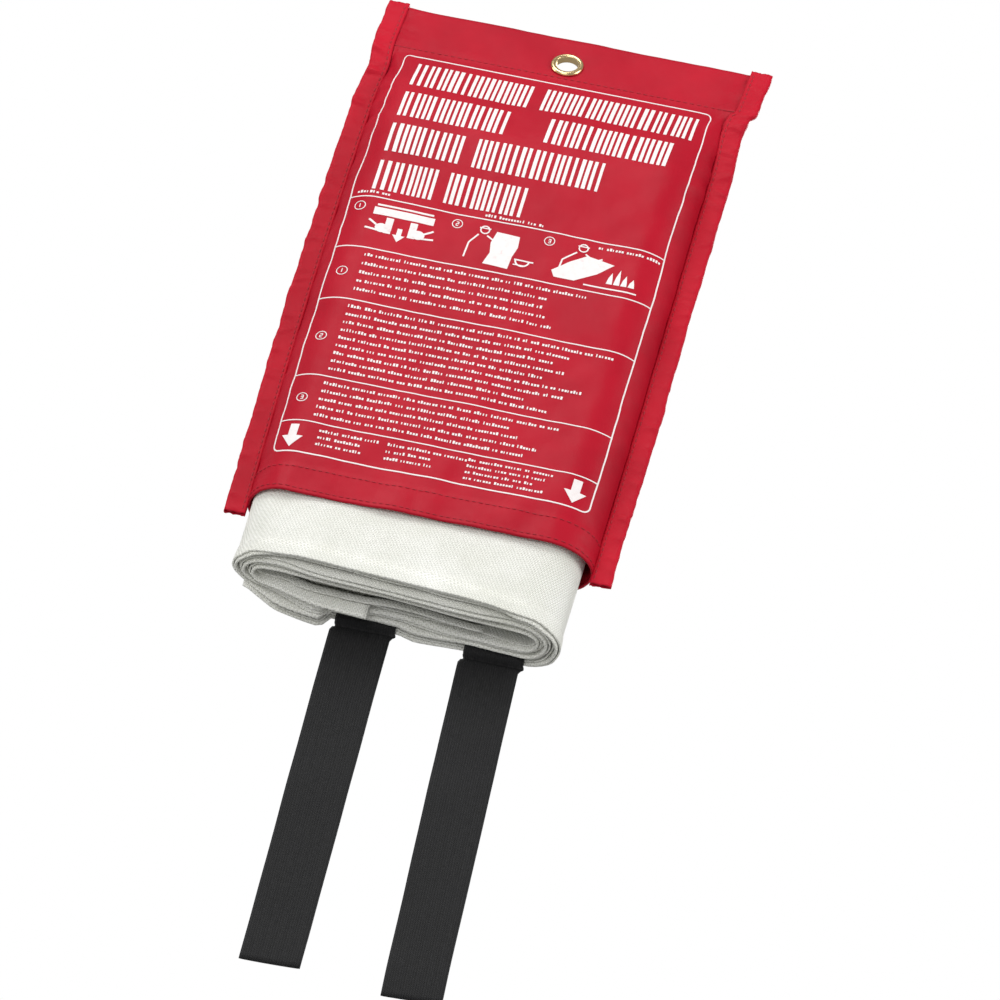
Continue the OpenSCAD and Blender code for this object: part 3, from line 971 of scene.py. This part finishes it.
def build_strap(body, lean, seed):
    """A strap in one piece, from its sewn end to its cut end, that leans sideways by some degrees."""
    hinge = HINGES[body]
    path, low = strap_route(body)
    drop = path[-1][1]
    hang = np.linspace(drop - 2.0, low + 0.3, 64)
    wave = Waves(seed, 120)
    back_y = path[-1][0]
    settle = 1 - np.exp(-(drop - hang) / 9)
    hang_y = back_y - 1.1 * settle + 1.0 * wave(hang) * smooth((drop - hang) / 60)
    yz = np.array(path + list(zip(hang_y, hang)))
    run = np.concatenate([[0], np.cumsum(np.linalg.norm(np.diff(yz, axis=0), axis=1))])
    centre = hinge[0] - np.minimum(0, yz[:, 1] - hinge[2]) * math.tan(math.radians(lean))
    centre = centre + 2.2 * smooth((yz[:, 1] - hinge[2] - 0.2) / 1.2) + 0.25 * wave(yz[:, 1] * 0.6 + 30)
    across = np.linspace(-STRAP_W / 2, STRAP_W / 2, 19)
    wide, along = np.meshgrid(across, run)
    twist = 0.9 * wave(along * 0.7 + 70) * smooth((along - 60) / 60)
    cup = 0.35 * (wide / (STRAP_W / 2)) ** 2 * smooth((along - 55) / 30)
    angle = math.radians(lean)
    hanging = smooth((hinge[2] - yz[:, 1]) / 6)[:, None]
    x = centre[:, None] + wide * (1 - hanging * (1 - math.cos(angle)))
    z = yz[:, 1][:, None] + wide * math.sin(angle) * hanging
    y = yz[:, 0][:, None] + twist * wide / 15 - cup
    edge = 1 - 0.35 * smooth((np.abs(wide) - STRAP_W / 2 + 1.6) / 1.6)
    grid = np.stack([x, y, z], -1)
    piece = outward(shell(body.replace("strap", "pull_strap_tape"), grid, STRAP_T * edge, WEBBING,
                          np.stack([wide, along], -1)))
    return piece, run[-1]


# ---- the camera and the studio ----

VIEW_BACK = (0.1555, -0.8134, -0.5606)       # from the object towards the camera
VIEW_RIGHT = (0.9689, 0.0145, 0.2472)        # towards the right of the view
VIEW_MIDDLE = (32.8, -2.65, -260.2)          # the point in the middle of the view, in millimetres
VIEW_DISTANCE = 20.0                         # metres
VIEWS_PER_METRE = 2.075                      # widths of the view in one metre, at its middle
SENSOR_W = 36.0                              # millimetres
LIT_MIDDLE = (0, 0, -0.25)                   # the point that the lamps face, in metres
WORLD_FILL = 0.38                            # strength of the surround's light
FLOOR_R = 250                                # millimetres; small, so that views from below see past it
FLOOR_Z = -1250


def build_camera():
    """A very long lens from below the front, with the object's foot towards the camera."""
    back = Vector(VIEW_BACK).normalized()
    right = Vector(VIEW_RIGHT)
    right = (right - back * right.dot(back)).normalized()
    up = back.cross(right)
    place = Vector(VIEW_MIDDLE) * MM + back * VIEW_DISTANCE
    data = bpy.data.cameras.new("camera")
    data.sensor_width = SENSOR_W
    data.lens = SENSOR_W * VIEWS_PER_METRE * VIEW_DISTANCE
    data.clip_start, data.clip_end = 0.1, 60.0
    camera = bpy.data.objects.new("camera", data)
    bpy.context.scene.collection.objects.link(camera)
    camera.matrix_world = Matrix((
        (right.x, up.x, back.x, place.x),
        (right.y, up.y, back.y, place.y),
        (right.z, up.z, back.z, place.z),
        (0, 0, 0, 1)))
    bpy.context.scene.camera = camera


def area_light(name, place, size, power):
    """A square lamp that faces the middle of the object."""
    data = bpy.data.lights.new(name, "AREA")
    data.shape, data.size, data.energy = "SQUARE", size, power
    lamp = bpy.data.objects.new(name, data)
    bpy.context.scene.collection.objects.link(lamp)
    lamp.location = place
    lamp.rotation_euler = (Vector(LIT_MIDDLE) - Vector(place)).to_track_quat("-Z", "Y").to_euler()


def build_studio():
    """Soft lamps all round, a white surround and a pale floor far below."""
    area_light("key", (-0.7, -1.5, 1.3), 1.1, 27)
    area_light("front", (-0.3, -1.9, -0.5), 1.0, 10)
    area_light("side", (1.8, -0.9, 0.3), 1.2, 25)
    area_light("left", (-1.8, -0.6, -0.1), 1.0, 10)
    area_light("rim", (0.3, 1.6, 0.9), 1.2, 24)
    area_light("under", (-0.2, -1.5, -1.5), 1.0, 1.5)
    world = bpy.data.worlds.new("surround")
    bpy.context.scene.world = world
    world.use_nodes = True
    tree = world.node_tree
    tree.nodes.clear()
    seen, fill = (tree.nodes.new("ShaderNodeBackground") for _ in range(2))
    for node, strength in ((seen, 1.0), (fill, WORLD_FILL)):
        node.inputs["Color"].default_value = (1, 1, 1, 1)
        node.inputs["Strength"].default_value = strength
    mix, path, out = (tree.nodes.new(k) for k in
                      ("ShaderNodeMixShader", "ShaderNodeLightPath", "ShaderNodeOutputWorld"))
    tree.links.new(path.outputs["Is Camera Ray"], mix.inputs[0])
    tree.links.new(fill.outputs[0], mix.inputs[1])
    tree.links.new(seen.outputs[0], mix.inputs[2])
    tree.links.new(mix.outputs[0], out.inputs[0])
    floor = Nodes("pale_floor")
    grain = floor.colours(floor.noise(0.6), [(0.3, (0.9, 0.9, 0.9)), (0.7, (0.94, 0.94, 0.94))])
    material = floor.finish(Base_Color=grain, Roughness=0.9)
    sides = 96
    turns = [TAU * k / sides for k in range(sides)]
    rim = [(FLOOR_R * math.cos(turn), FLOOR_R * math.sin(turn), FLOOR_Z) for turn in turns]
    plane = make_object("floor", rim, [tuple(range(sides))], material)
    bpy.context.scene.view_settings.view_transform = "Standard"


# ---- the whole object ----


def place(piece, body, slot, *nodes):
    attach(piece, body)
    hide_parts(*nodes)
    return piece


def build_pouch():
    front = place(build_panel(FRONT, "front_panel_cloth"), "pouch", "printed_red_cloth", "front_panel")
    back = place(build_panel(BACK, "back_panel_cloth"), "pouch", "plain_red_cloth", "back_panel")
    ink = build_print()
    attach(ink, "pouch")
    reach = CUT_HW - 13
    seam_down = HEADER_H - 1.2
    upper_row, lower_row = CUT_H - HEM_H + 1.6, CUT_H - 2.4
    rows = {
        "header": [row_across(FRONT, seam_down, reach), row_across(BACK, seam_down, reach)],
        "front_hem_upper": [row_across(FRONT, upper_row, reach)],
        "front_hem_lower": [row_across(FRONT, lower_row, reach)],
        "back_hem": [row_across(BACK, upper_row, reach)],
    }
    for name, runs in rows.items():
        place(stitches(name + "_stitches", RED_THREAD, runs), "pouch", "red_thread", name + "_stitching")
    for side, sign, seed in (("left", -1, 61), ("right", 1, 67)):
        binding = Binding(sign, seed)
        tape = place(binding.build(f"{side}_binding_tape"), "pouch", "red_binding_tape", f"{side}_edge_binding")
        sewn = stitches(f"{side}_binding_stitches", RED_THREAD, [binding.row(True), binding.row(False)])
        place(sewn, "pouch", "red_thread", f"{side}_binding_stitching")


def build_bundle():
    cloth, grid, s, q = build_blanket()
    place(cloth, "blanket", "white_glass_fibre", "folded_blanket")
    row = int(np.argmin(np.abs(q[:, 0] - 8.0)))
    centre = grid[row]
    normal = grid_normals(grid)[row]
    run = s[row]

    def line(at):
        point = np.stack([np.interp(at, run, centre[:, k]) for k in range(3)], -1)
        out = unit(np.stack([np.interp(at, run, normal[:, k]) for k in range(3)], -1))
        return point + out * (EDGE_HEM_T / 2 - 0.05), out

    sewn = stitches("blanket_hem_stitches", WHITE_THREAD, [(line, SHEET - 4)], 3.6, 2.6, 0.17)
    place(sewn, "blanket", "white_thread", "blanket_hem_stitching")


def build_straps():
    for body, lean, seed in (("left_strap", 1.9, 71), ("right_strap", 3.7, 79)):
        tape, length = build_strap(body, lean, seed)
        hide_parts(body + "_sewn_end", body.replace("strap", "pull_strap"))
        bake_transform(tape)


def finish_cad_nodes():
    """The CAD pieces that show as they are."""
    finishes = {
        "eyelet_barrel": BRASS, "eyelet_washer": BRASS,
        "left_strap_box_stitching": BLACK_THREAD, "right_strap_box_stitching": BLACK_THREAD,
    }
    for node, material in finishes.items():
        mesh = frame["nodes"][node].data
        mesh.materials.clear()
        mesh.materials.append(material)
        if material is BRASS:
            mesh.polygons.foreach_set("use_smooth", [True] * len(mesh.polygons))


build_camera()
build_studio()
build_pouch()
build_bundle()
build_straps()
finish_cad_nodes()

bpy.context.view_layer.update()
